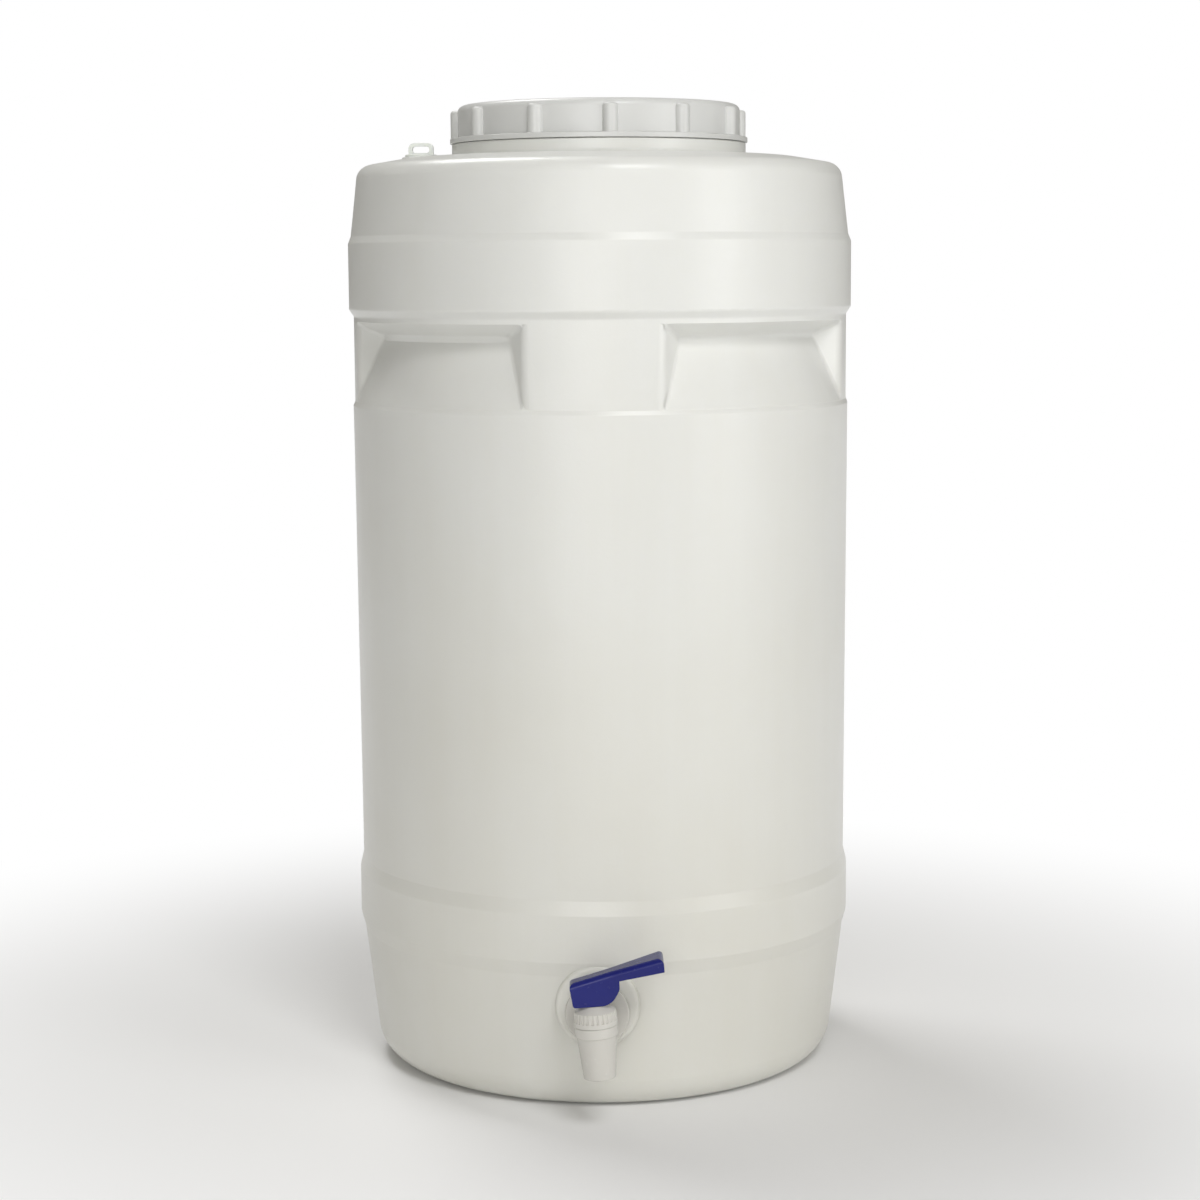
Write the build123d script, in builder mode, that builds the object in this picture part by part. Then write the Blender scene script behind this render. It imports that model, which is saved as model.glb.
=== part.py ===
"""A 60-litre blow-moulded drum used as a carboy, with a screw lid, a vent plug and a lever tap.

Frame: millimetres, +Z up, the tap faces -Y. The origin is on the floor, on the drum's axis.
"""
from build123d import *
import math
import os

# Drum: wall and radii
wall = 3.0
body_radius = 180.2          # top of the plain body
body_narrowing = 1.7         # the plain body is this much narrower at its foot
heel_inset = 14.0            # floor end of the tapered base, inside the body radius
base_top_inset = 2.0         # upper end of the tapered base
lower_ring_proud = 0.8
upper_ring_proud = 2.1
pillar_inset = 1.3           # the pillars between the hand grips, inside the body radius
top_taper_inset = 5.6
crown_inset = 32.6           # from the shoulder's edge to the line where it flattens
collar_inset = 74.0          # the band under the lid, inside the body radius
neck_inset = 8.4             # the neck, inside the collar
neck_wall = 4.0

# Drum: heights, one upon the other from the floor
base_height = 98.0
lower_ring_height = 53.0
lower_ring_slope = 10.0
body_height = 331.0
grip_height = 64.0
upper_ring_height = 57.0
upper_ring_slope = 5.0
top_taper_height = 49.2
crown_rise = 5.6
shoulder_rise = 6.9
collar_height = 9.3
neck_height = 22.6

# Drum: rounds and the pushed-up middle of the base
heel_round = 24.0
ring_round = 3.0
ledge_height = 3.0
ledge_round = 1.0
shoulder_round = 11.0
crown_round = 60.0
collar_root_round = 2.0
neck_lip_round = 1.0
foot_ring_inset = 28.2       # inside the floor end of the tapered base
punt_inset = 12.0            # inside the foot ring
punt_height = 7.0
punt_round = 5.0

# Hand grips: a wedge-shaped pocket between each pair of pillars
grip_count = 4
grip_depth = 19.2            # from the body radius to the deepest corner
grip_lip_drop = 3.4          # the lip lies this far under the upper ring
grip_roof_drop = 9.9         # the roof falls this much from the lip to the corner
pillar_half_angle = 15.0     # at the drum's surface
pillar_deep_angle = 20.9     # at the deepest corner
grip_corner_round = 4.0
grip_rim_round = 9.0         # the pillars' upright edges
outside_clear = 12.0         # cutting shapes reach this far outside the drum

# Vent in the shoulder, and its plug with a pull loop
vent_inset = 51.2            # on the left, this far inside the body radius
vent_boss_radius = 13.8
vent_boss_rise = 1.0
vent_boss_round = 0.8
vent_hole_radius = 5.0
vent_fit = 0.3
vent_flange_radius = 11.6
vent_flange_thickness = 1.8
vent_shank_length = 9.0
vent_shank_round = 1.5
vent_loop_width = 18.0
vent_loop_height = 8.4
vent_loop_thickness = 5.0
vent_loop_round = 4.0
vent_slot_width = 12.4
vent_slot_height = 4.8
vent_slot_lift = 1.2
vent_flange_round = 0.6

# Lid and its seal
lid_gap = 0.3                # between the lid's flange and the drum's collar
lid_thread_gap = 1.4         # between the plain neck and the skirt, where the threads mesh
lid_wall = 2.8
lid_flange_proud = 5.5
lid_flange_height = 3.7
lid_flange_round = 0.6
lid_rim_rise = 2.3           # from the seal to the sharp edge of the top
lid_rim_round = 5.0
lid_dome_rise = 0.6
lid_dome_inset = 20.0        # from the skirt to the flat middle of the top
lid_dome_round = 30.0
lid_deck = 2.6
grip_rib_count = 12
grip_rib_radius = 5.4
grip_rib_sink = 0.4          # a rib's centre lies this far inside the skirt
grip_rib_height = 20.0
grip_rib_round = 2.4
grip_rib_turn = 6.0          # degrees, the first rib to the right of the front
lid_seal_width = 6.4
lid_seal_thickness = 2.4
lid_seal_overhang = 0.6      # the seal stands this far out past the neck

# Tap boss on the drum's tapered base
tap_height = 74.5            # shank axis above the floor
boss_lift = 3.5              # the boss is centred this much above the shank
boss_radius = 29.0
boss_proud = 1.2             # its flat face, outside the body radius
boss_depth = 30.0
boss_wall = 4.0
boss_round = 3.0
shank_clear = 0.3

# Tap body
shank_radius = 13.0
shank_bore_radius = 9.2
shank_end = 4.0              # stands out past the nut
flange_radius = 22.0
flange_thickness = 3.6
flange_round = 1.2
valve_reach = 33.6           # valve axis in front of the boss face
valve_lean = 4.0             # degrees, the tap is tightened a little off plumb
throat_root_radius = 11.4
throat_end_radius = 7.0
throat_drop = 7.0            # the throat runs down to pass under the cap
throat_wall = 2.2
nozzle_drop = 35.0           # from the shank axis to the nozzle's end
nozzle_tip_radius = 10.9
nozzle_root_radius = 13.6
nozzle_bore_radius = 8.0
nozzle_tip_round = 0.8
tap_collar_drop = 5.8        # from the shank axis to the underside of the collar
tap_collar_radius = 14.5
tap_collar_height = 7.2
tap_collar_round = 0.8
chamber_radius = 10.4
seat_drop = 13.0             # from the shank axis to the valve seat
tap_neck_radius = 12.4

# Washers and nut
washer_thickness = 2.5
outer_washer_radius = 20.4
inner_washer_radius = 21.0
nut_flats = 36.0
nut_thickness = 9.0
nut_clear = 0.08

# Tap cap with its knurled skirt
cap_clear = 0.3
cap_height = 9.5             # from its foot to its flat top, without the hub
cap_deck = 2.6
cap_skirt_radius = 14.8
cap_taper = 0.8
cap_hub_radius = 8.0
cap_hub_height = 4.2
cap_edge_round = 0.8
knurl_count = 26
knurl_groove_radius = 1.0
knurl_sink = 0.3             # the grooves' centres lie this far inside the skirt
knurl_length = 6.4

# Valve stem, seal, spring and stem ring
stem_radius = 3.0
stem_clear = 0.3
stem_seat_clear = 0.05       # between the stem and the seal that it lifts
stem_foot_radius = 4.2
stem_foot_height = 2.5
stem_disc_radius = 8.2
stem_disc_height = 1.4
stem_head = 4.5              # above the pivot
stem_head_round = 1.0
trunnion_radius = 2.25
trunnion_reach = 5.8         # from the stem's axis to each trunnion's end
seal_clear = 0.9             # between the seal and the chamber
seal_thickness = 4.5
seal_chamfer = 0.5
pocket_clear = 0.1
ring_wire_radius = 0.9
ring_clear = 0.1
spring_wire_radius = 0.6
spring_radius = 6.6
spring_turns = 4.5
spring_clear = 0.1

# Lever
lever_gap = 0.3              # between the lever's cam and the cap's hub
cam_height = 10.0            # from the pivot down to the flat of the cam
cam_lift = 5.0               # rise of the pivot for each radian that the lever turns
lever_turn = 2.0             # the lever points to the right and this far to the back
lever_half_width = 8.0
lever_tip_half_width = 12.6
lever_flare_start = 12.0
lever_back_foot = 14.2       # foot of the block's back, behind the valve axis
lever_back_top = 16.0
lever_back_height = 5.9      # top of the block's back, above the pivot
lever_reach = 48.4           # tip in front of the valve axis
lever_top_slope = 13.1       # degrees
arm_root_height = 6.3        # underside of the arm where it leaves the block
arm_tip_height = 11.1        # underside of the arm at its tip
lever_foot_round = 2.0
lever_crown_round = 3.6
lever_slot_clear = 0.45
lever_press = 40.0           # degrees, from rest to fully pressed
trunnion_clear = 0.06
trunnion_end_clear = 0.3

# Levels and radii that follow from the sizes above
lower_ring_top = base_height + lower_ring_height
grip_foot = lower_ring_top + body_height
grip_top = grip_foot + grip_height
upper_ring_top = grip_top + upper_ring_height
shoulder_edge = upper_ring_top + top_taper_height
shoulder_top = shoulder_edge + shoulder_rise
collar_top = shoulder_top + collar_height
neck_top = collar_top + neck_height
body_foot_radius = body_radius - body_narrowing
pillar_radius = body_radius - pillar_inset
lower_ring_radius = body_radius + lower_ring_proud
upper_ring_radius = body_radius + upper_ring_proud
shoulder_radius = body_radius - top_taper_inset
heel_radius = body_radius - heel_inset
foot_ring_radius = heel_radius - foot_ring_inset
punt_radius = foot_ring_radius - punt_inset
collar_radius = body_radius - collar_inset
neck_radius = collar_radius - neck_inset
neck_bore_radius = neck_radius - neck_wall
grip_floor_radius = body_radius - grip_depth
outside_radius = upper_ring_radius + outside_clear

boss_reach = body_radius + boss_proud
boss_height = tap_height + boss_lift
vent_reach = body_radius - vent_inset
vent_boss_top = shoulder_top + vent_boss_rise


def drum_corners(inset):
    """Corners of the drum's half section from the base's middle to the crown, each with its round.

    The outside has an inset of zero. The cavity moves in by the wall and keeps the same levels.
    """
    base_level = inset
    return [
        ((0, punt_height + base_level), None),
        ((punt_radius, punt_height + base_level), punt_round),
        ((foot_ring_radius, base_level), punt_round),
        ((heel_radius - inset, base_level), heel_round - inset),
        ((body_radius - base_top_inset - inset, base_height), ring_round),
        ((lower_ring_radius - inset, base_height + lower_ring_slope), ring_round),
        ((lower_ring_radius - inset, lower_ring_top - lower_ring_slope), ring_round),
        ((body_foot_radius - inset, lower_ring_top), ring_round),
        ((body_radius - inset, grip_foot), ledge_round),
        ((pillar_radius - inset, grip_foot + ledge_height), ledge_round),
        ((pillar_radius - inset, grip_top), ring_round),
        ((upper_ring_radius - inset, grip_top + upper_ring_slope), ring_round),
        ((upper_ring_radius - inset, upper_ring_top - upper_ring_slope), ring_round),
        ((body_radius - inset, upper_ring_top), ring_round),
        ((shoulder_radius - inset, shoulder_edge - inset), shoulder_round - inset),
        ((shoulder_radius - crown_inset, shoulder_edge + crown_rise - inset), crown_round),
    ]


def closed_outline(corners):
    """A closed outline through corners that each have a round; its first and last corners are sharp."""
    points = [point for point, radius in corners]
    FilletPolyline(*points, radius=[radius for point, radius in corners[1:-1]])
    Line(points[-1], points[0])


def grip_sector():
    """Plan outline of one hand grip centred on +X: its end walls run out from the deep corner."""
    half_span = 180 / grip_count
    face_angle = math.radians(half_span - pillar_half_angle)
    deep_angle = math.radians(half_span - pillar_deep_angle)
    face = body_radius * Vector(math.cos(face_angle), math.sin(face_angle))
    deep = grip_floor_radius * Vector(math.cos(deep_angle), math.sin(deep_angle))
    run = (face - deep).normalized() * grip_depth
    far = face + run
    near = deep - run
    return [
        (near.X, near.Y),
        (far.X, far.Y),
        (outside_radius, far.Y),
        (outside_radius, -far.Y),
        (far.X, -far.Y),
        (near.X, -near.Y),
    ]


def grip_rim(side):
    """Plan outline between one end wall of the grip and the round that eases it into the drum.

    The round touches the end wall and the pillars' circle from inside; side is 1 or -1.
    """
    corners = grip_sector()
    near = Vector(*corners[0])
    far = Vector(*corners[1])
    along = (far - near).normalized()
    outwards = Vector(-along.Y, along.X)
    centre_line = near + outwards * grip_rim_round
    lead = centre_line.dot(along)
    drop = centre_line.length ** 2 - (pillar_radius - grip_rim_round) ** 2
    centre = centre_line + along * (math.sqrt(lead ** 2 - drop) - lead)
    on_wall = centre - outwards * grip_rim_round
    on_drum = centre.normalized() * pillar_radius
    middle = centre + (on_wall + on_drum - centre * 2).normalized() * grip_rim_round
    reach = along * 2 * grip_rim_round
    return [(point.X, side * point.Y) for point in (on_wall, middle, on_drum, on_drum + reach, on_wall + reach)]


def grip_wedge():
    """Half section of the grip pocket: a roof that falls inwards and a back wall that slopes out."""
    lip = grip_top - grip_lip_drop
    corner = lip - grip_roof_drop
    roof_slope = grip_roof_drop / (pillar_radius - grip_floor_radius)
    back_slope = (corner - grip_foot) / grip_depth
    run = outside_radius - grip_floor_radius
    return [
        (grip_floor_radius, corner),
        (outside_radius, corner + roof_slope * run),
        (outside_radius, corner - back_slope * run),
    ]


def grip_pocket(grow, corner_round):
    """One pocket centred on +X, turned from the wedge and cut to its sector, grown by a wall or not."""
    with BuildPart() as pocket:
        with BuildSketch(Plane.XZ):
            with BuildLine():
                Polyline(*grip_wedge(), close=True)
            make_face()
            if grow:
                offset(amount=grow, kind=Kind.INTERSECTION)
        revolve(axis=Axis.Z)
        with BuildSketch(Plane.XY.offset(grip_foot - grip_height)):
            with BuildLine():
                Polyline(*grip_sector(), close=True)
            make_face()
            if grow:
                offset(amount=grow, kind=Kind.INTERSECTION)
        extrude(amount=3 * grip_height, mode=Mode.INTERSECT)
        if corner_round:
            deep_edges = pocket.edges().filter_by(
                lambda edge: math.hypot(edge.center().X, edge.center().Y) < upper_ring_radius + wall
                and abs(edge.center().X) < upper_ring_radius + wall
            )
            fillet(deep_edges, corner_round)
    return pocket.part


def grip_rims():
    """The two rounds beside one pocket, cut to the same wedge."""
    with BuildPart() as rims:
        with BuildSketch(Plane.XZ):
            with BuildLine():
                Polyline(*grip_wedge(), close=True)
            make_face()
        revolve(axis=Axis.Z)
        with BuildSketch(Plane.XY.offset(grip_foot - grip_height)):
            for side in (1, -1):
                on_wall, middle, on_drum, past_drum, past_wall = grip_rim(side)
                with BuildLine():
                    ThreePointArc(on_wall, middle, on_drum)
                    Polyline(on_drum, past_drum, past_wall, on_wall)
                make_face()
        extrude(amount=3 * grip_height, mode=Mode.INTERSECT)
    return rims.part


outer_grip = grip_pocket(0, grip_corner_round)
inner_grip = grip_pocket(wall, 0)
outer_rims = grip_rims()
boss_plane = Plane(origin=(0, -boss_reach, boss_height), x_dir=(1, 0, 0), z_dir=(0, -1, 0))
tap_plane = Plane(origin=(0, -boss_reach, tap_height), x_dir=(1, 0, 0), z_dir=(0, -1, 0))
vent_plane = Plane(origin=(-vent_reach, 0, vent_boss_top), x_dir=(1, 0, 0), z_dir=(0, 0, 1))

# Tap boss and vent boss, moulded with the drum
with BuildPart() as tap_boss:
    with BuildSketch(boss_plane):
        Circle(boss_radius)
    extrude(amount=-boss_depth)
    fillet(tap_boss.edges().group_by(Axis.Y)[0], boss_round)

with BuildPart() as vent_boss:
    with BuildSketch(vent_plane):
        Circle(vent_boss_radius)
    extrude(amount=-vent_boss_rise - wall)
    fillet(vent_boss.edges().group_by(Axis.Z)[-1], vent_boss_round)

# The drum's cavity
with BuildPart() as cavity:
    with BuildSketch(Plane.XZ):
        with BuildLine():
            closed_outline(drum_corners(wall) + [
                ((neck_bore_radius, shoulder_top - wall), collar_root_round),
                ((neck_bore_radius, neck_top + wall), 0),
                ((0, neck_top + wall), None),
            ])
        make_face()
    revolve(axis=Axis.Z)
    with PolarLocations(0, grip_count, start_angle=180 / grip_count):
        add(inner_grip, mode=Mode.SUBTRACT)
    with BuildSketch(boss_plane.offset(-boss_wall)):
        Circle(boss_radius - boss_wall)
    extrude(amount=-boss_depth)

# Drum
with BuildPart() as drum:
    with BuildSketch(Plane.XZ):
        with BuildLine():
            closed_outline(drum_corners(0) + [
                ((collar_radius, shoulder_top), collar_root_round),
                ((collar_radius, collar_top), neck_lip_round),
                ((neck_radius, collar_top), neck_lip_round),
                ((neck_radius, neck_top), neck_lip_round),
                ((0, neck_top), None),
            ])
        make_face()
    revolve(axis=Axis.Z)
    with PolarLocations(0, grip_count, start_angle=180 / grip_count):
        add(outer_grip, mode=Mode.SUBTRACT)
        add(outer_rims, mode=Mode.SUBTRACT)
    add(tap_boss.part)
    add(vent_boss.part)
    add(cavity.part, mode=Mode.SUBTRACT)
    with BuildSketch(tap_plane.offset(boss_wall)):
        Circle(shank_radius + shank_clear)
    extrude(amount=-boss_depth, mode=Mode.SUBTRACT)
    with BuildSketch(vent_plane.offset(wall)):
        Circle(vent_hole_radius)
    extrude(amount=-boss_depth, mode=Mode.SUBTRACT)
drum.part.label = "drum"


# Lid, with ribs to grip it by
lid_foot = collar_top + lid_gap
lid_flange_top = lid_foot + lid_flange_height
lid_seal_top = neck_top + lid_seal_thickness
lid_rim = lid_seal_top + lid_rim_rise
lid_top = lid_rim + lid_dome_rise
skirt_bore = neck_radius + lid_thread_gap
skirt_radius = skirt_bore + lid_wall
lid_seal_radius = neck_radius + lid_seal_overhang
lid_dome_radius = skirt_radius - lid_dome_inset

with BuildPart() as grip_rib:
    with BuildSketch(Plane.XY.offset(lid_flange_top)):
        Circle(grip_rib_radius)
    extrude(amount=grip_rib_height)
    fillet(grip_rib.edges().group_by(Axis.Z)[-1], grip_rib_round)

with BuildPart() as lid:
    with BuildSketch(Plane.XZ):
        with BuildLine():
            closed_outline([
                ((0, lid_foot), None),
                ((skirt_radius + lid_flange_proud, lid_foot), lid_flange_round),
                ((skirt_radius + lid_flange_proud, lid_flange_top), lid_flange_round),
                ((skirt_radius, lid_flange_top), lid_flange_round),
                ((skirt_radius, lid_rim), lid_rim_round),
                ((lid_dome_radius, lid_top), lid_dome_round),
                ((0, lid_top), None),
            ])
        make_face()
    revolve(axis=Axis.Z)
    with PolarLocations(skirt_radius - grip_rib_sink, grip_rib_count, start_angle=grip_rib_turn - 90):
        add(grip_rib.part)
    with BuildSketch(Plane.XZ):
        with BuildLine():
            Polyline(
                (0, lid_foot - lid_wall),
                (skirt_bore, lid_foot - lid_wall),
                (skirt_bore, lid_seal_top),
                (neck_bore_radius - lid_wall, lid_seal_top),
                (lid_dome_radius - lid_deck, lid_top - lid_deck),
                (0, lid_top - lid_deck),
                close=True,
            )
        make_face()
    revolve(axis=Axis.Z, mode=Mode.SUBTRACT)
lid.part.label = "lid"

# Lid seal, a flat ring on the neck's lip
with BuildPart() as lid_seal:
    with BuildSketch(Plane.XY.offset(neck_top)):
        Circle(lid_seal_radius)
        Circle(lid_seal_radius - lid_seal_width, mode=Mode.SUBTRACT)
    extrude(amount=lid_seal_thickness)
lid_seal.part.label = "lid_seal"

# Vent plug: a shank in the hole, a flange on the boss and a slotted loop to pull it by
vent_loop_plane = Plane(origin=vent_plane.origin, x_dir=(1, 0, 0), z_dir=(0, -1, 0))
with BuildPart() as vent_plug:
    with BuildSketch(vent_plane.offset(-vent_shank_length)):
        Circle(vent_hole_radius - vent_fit)
    extrude(amount=vent_shank_length)
    fillet(vent_plug.edges().group_by(Axis.Z)[0], vent_shank_round)
    with BuildSketch(vent_plane):
        Circle(vent_flange_radius)
    extrude(amount=vent_flange_thickness)
    fillet(vent_plug.edges().group_by(Axis.Z)[-1], vent_flange_round)
    with BuildSketch(vent_loop_plane) as loop_face:
        with Locations((0, vent_flange_thickness)):
            Rectangle(vent_loop_width, vent_loop_height, align=(Align.CENTER, Align.MIN))
        fillet(loop_face.vertices().group_by(Axis.Y)[-1], vent_loop_round)
        with Locations((0, vent_flange_thickness + vent_slot_lift + vent_slot_height / 2)):
            SlotOverall(vent_slot_width, vent_slot_height, mode=Mode.SUBTRACT)
    extrude(amount=vent_loop_thickness / 2, both=True)
vent_plug.part.label = "vent_plug"

# Tap frame: the valve stands on the shank's axis and leans sideways a little
lean = math.radians(valve_lean)
valve_right = Vector(math.cos(lean), 0, math.sin(lean))
valve_up = Vector(-math.sin(lean), 0, math.cos(lean))
to_front = Vector(0, -1, 0)
valve_origin = Vector(0, -boss_reach - valve_reach, tap_height)
valve_axis = Axis(valve_origin, valve_up)
valve_section = Plane(origin=valve_origin, x_dir=valve_right, z_dir=to_front)

# Valve levels, above the shank's axis
nozzle_end = -nozzle_drop
seat_level = -seat_drop
tap_collar_foot = -tap_collar_drop
tap_collar_head = tap_collar_foot + tap_collar_height
cap_foot = tap_collar_head + cap_clear
cap_head = cap_foot + cap_height
cap_underside = cap_head - cap_deck
cap_hub_head = cap_head + cap_hub_height
seal_head = seat_level + seal_thickness
stem_disc_foot = seal_head + stem_seat_clear
stem_foot = stem_disc_foot - stem_foot_height
stem_disc_head = stem_disc_foot + stem_disc_height
pivot_level = cap_hub_head + lever_gap + cam_height


def valve_level(height):
    """The plane square to the valve's axis at a height above the shank's axis."""
    return Plane(origin=valve_origin + valve_up * height, x_dir=valve_right, z_dir=valve_up)


def throat_plane(reach, drop):
    """The plane across the throat, this far in front of the boss face and under the shank's axis."""
    return Plane(origin=(0, -boss_reach - reach, tap_height - drop), x_dir=(1, 0, 0), z_dir=to_front)


# Washers and nut, on the shank
outer_washer_face = washer_thickness
flange_face = outer_washer_face + flange_thickness
nut_face = -boss_wall - washer_thickness
shank_tail = nut_face - nut_thickness - shank_end

with BuildPart() as tap_outer_washer:
    with BuildSketch(tap_plane):
        Circle(outer_washer_radius)
        Circle(shank_radius + shank_clear, mode=Mode.SUBTRACT)
    extrude(amount=washer_thickness)
tap_outer_washer.part.label = "tap_outer_washer"

with BuildPart() as tap_inner_washer:
    with BuildSketch(tap_plane.offset(-boss_wall)):
        Circle(inner_washer_radius)
        Circle(shank_radius + shank_clear, mode=Mode.SUBTRACT)
    extrude(amount=-washer_thickness)
tap_inner_washer.part.label = "tap_inner_washer"

with BuildPart() as tap_nut:
    with BuildSketch(tap_plane.offset(nut_face)):
        RegularPolygon(nut_flats / 2, 6, major_radius=False)
        Circle(shank_radius + nut_clear, mode=Mode.SUBTRACT)
    extrude(amount=-nut_thickness)
tap_nut.part.label = "tap_nut"

# Tap body: shank, flange, throat and valve body in one moulding
throat_end = valve_reach - tap_collar_radius / 2
with BuildPart() as tap_body:
    with BuildSketch(tap_plane.offset(shank_tail)):
        Circle(shank_radius)
    extrude(amount=outer_washer_face - shank_tail)
    with BuildSketch(tap_plane.offset(outer_washer_face)):
        Circle(flange_radius)
    extrude(amount=flange_thickness)
    fillet(tap_body.edges().group_by(Axis.Y)[0], flange_round)
    with BuildSketch(throat_plane(flange_face, 0)):
        Circle(throat_root_radius)
    with BuildSketch(throat_plane(throat_end, throat_drop)):
        Circle(throat_end_radius)
    loft()
    with BuildSketch(valve_level(cap_foot - cap_clear)):
        Circle(cap_skirt_radius + cap_clear)
    extrude(amount=cap_height, mode=Mode.SUBTRACT)
    with BuildSketch(valve_section):
        with BuildLine():
            closed_outline([
                ((0, nozzle_end), None),
                ((nozzle_tip_radius, nozzle_end), nozzle_tip_round),
                ((nozzle_root_radius, tap_collar_foot), 0),
                ((tap_collar_radius, tap_collar_foot), tap_collar_round),
                ((tap_collar_radius, tap_collar_head), tap_collar_round),
                ((tap_neck_radius, tap_collar_head), 0),
                ((tap_neck_radius, cap_underside), 0),
                ((0, cap_underside), None),
            ])
        make_face()
    revolve(axis=valve_axis)
    with BuildSketch(valve_level(nozzle_end)):
        Circle(nozzle_bore_radius)
    extrude(amount=seat_level - nozzle_end, mode=Mode.SUBTRACT)
    with BuildSketch(valve_level(seat_level)):
        Circle(chamber_radius)
    extrude(amount=cap_underside - seat_level, mode=Mode.SUBTRACT)
    with BuildSketch(tap_plane.offset(shank_tail)):
        Circle(shank_bore_radius)
    extrude(amount=flange_face - shank_tail, mode=Mode.SUBTRACT)
    with BuildSketch(throat_plane(flange_face, 0)):
        Circle(shank_bore_radius)
    with BuildSketch(throat_plane(throat_end, throat_drop)):
        Circle(throat_end_radius - throat_wall)
    loft(mode=Mode.SUBTRACT)
tap_body.part.label = "tap_body"

# Tap cap: knurled skirt, flat top and the hub that the lever's cam bears on
with BuildPart() as tap_cap:
    with BuildSketch(valve_section):
        with BuildLine():
            closed_outline([
                ((0, cap_foot), None),
                ((cap_skirt_radius, cap_foot), 0),
                ((cap_skirt_radius - cap_taper, cap_head), cap_edge_round),
                ((cap_hub_radius, cap_hub_head), cap_edge_round),
                ((0, cap_hub_head), None),
            ])
        make_face()
    revolve(axis=valve_axis)
    with BuildSketch(valve_level(cap_head - knurl_length)):
        with PolarLocations(cap_skirt_radius - knurl_sink, knurl_count):
            Circle(knurl_groove_radius)
    extrude(amount=knurl_length, mode=Mode.SUBTRACT)
    with BuildSketch(valve_level(cap_foot)):
        Circle(tap_neck_radius + cap_clear)
    extrude(amount=cap_underside - cap_foot, mode=Mode.SUBTRACT)
    with BuildSketch(valve_level(cap_foot)):
        Circle(stem_radius + stem_clear)
    extrude(amount=cap_hub_head - cap_foot, mode=Mode.SUBTRACT)
    with BuildSketch(valve_level(cap_underside + ring_clear)):
        Circle(stem_radius + 2 * ring_clear + 2 * ring_wire_radius)
    extrude(amount=2 * ring_clear + 2 * ring_wire_radius, mode=Mode.SUBTRACT)
tap_cap.part.label = "tap_cap"

# Stem ring, in its groove in the cap
with BuildPart() as stem_ring:
    with BuildSketch(valve_section):
        with Locations((
            stem_radius + ring_clear + ring_wire_radius,
            cap_underside + 2 * ring_clear + ring_wire_radius,
        )):
            Circle(ring_wire_radius)
    revolve(axis=valve_axis)
stem_ring.part.label = "stem_ring"

# Valve seal, seated on the valve seat
with BuildPart() as valve_seal:
    with BuildSketch(valve_section):
        with BuildLine():
            Polyline(
                (0, seat_level),
                (chamber_radius - seal_clear - seal_chamfer, seat_level),
                (chamber_radius - seal_clear, seat_level + seal_chamfer),
                (chamber_radius - seal_clear, seal_head),
                (stem_foot_radius + pocket_clear, seal_head),
                (stem_foot_radius + pocket_clear, seal_head - stem_foot_height),
                (0, seal_head - stem_foot_height),
                close=True,
            )
        make_face()
    revolve(axis=valve_axis)
valve_seal.part.label = "valve_seal"

# Lever frame: its pivot is on the valve's axis, and it points to the right
turn = math.radians(lever_turn)
lever_out = valve_right * math.cos(turn) - to_front * math.sin(turn)
lever_side = lever_out.cross(valve_up)
pivot = valve_origin + valve_up * pivot_level
lever_plane = Plane(origin=pivot, x_dir=lever_out, z_dir=lever_side)
lever_plan = Plane(origin=pivot, x_dir=lever_out, z_dir=valve_up)

# Valve stem: foot, spring disc, rod and the trunnions that the lever turns on
with BuildPart() as valve_stem:
    with BuildSketch(valve_section):
        with BuildLine():
            closed_outline([
                ((0, stem_foot), None),
                ((stem_foot_radius, stem_foot), 0),
                ((stem_foot_radius, stem_disc_foot), 0),
                ((stem_disc_radius, stem_disc_foot), 0),
                ((stem_disc_radius, stem_disc_head), 0),
                ((stem_radius, stem_disc_head), 0),
                ((stem_radius, pivot_level + stem_head), stem_head_round),
                ((0, pivot_level + stem_head), None),
            ])
        make_face()
    revolve(axis=valve_axis)
    with BuildSketch(lever_plane):
        Circle(trunnion_radius)
    extrude(amount=trunnion_reach, both=True)
valve_stem.part.label = "valve_stem"

# Valve spring, between the stem's disc and the cap
spring_foot = stem_disc_head + spring_wire_radius + spring_clear
spring_height = cap_underside - spring_wire_radius - spring_clear - spring_foot
with BuildPart() as valve_spring:
    with BuildLine(valve_level(spring_foot)) as coil:
        Helix(spring_height / spring_turns, spring_height, spring_radius, direction=valve_up)
    with BuildSketch(Plane(origin=coil.line @ 0, z_dir=coil.line % 0)):
        Circle(spring_wire_radius)
    sweep(is_frenet=True)
valve_spring.part.label = "valve_spring"

# Lever: a block whose rounded foot is a cam, and an arm that widens towards its tip
press = math.radians(lever_press)
top_slope = math.tan(math.radians(lever_top_slope))


def cam_point(angle):
    """The cam's edge where its face lies square to a direction turned this far from straight down.

    The face's distance from the pivot grows evenly with the angle, so the edge is an involute.
    """
    reach = cam_height + cam_lift * angle
    return (
        reach * math.sin(angle) + cam_lift * math.cos(angle),
        cam_lift * math.sin(angle) - reach * math.cos(angle),
    )


cam_points = [cam_point(step * math.pi / 8) for step in range(5)]
block_front = cam_points[-1][0]
tip_top_height = lever_back_height + (lever_reach + lever_back_top) * top_slope
slot_half_width = stem_radius + lever_slot_clear
slot_run = cam_height + cam_lift * press + 2 * lever_slot_clear + stem_head_round
slot_shoulder = (slot_half_width * math.cos(press), slot_half_width * math.sin(press))

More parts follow.
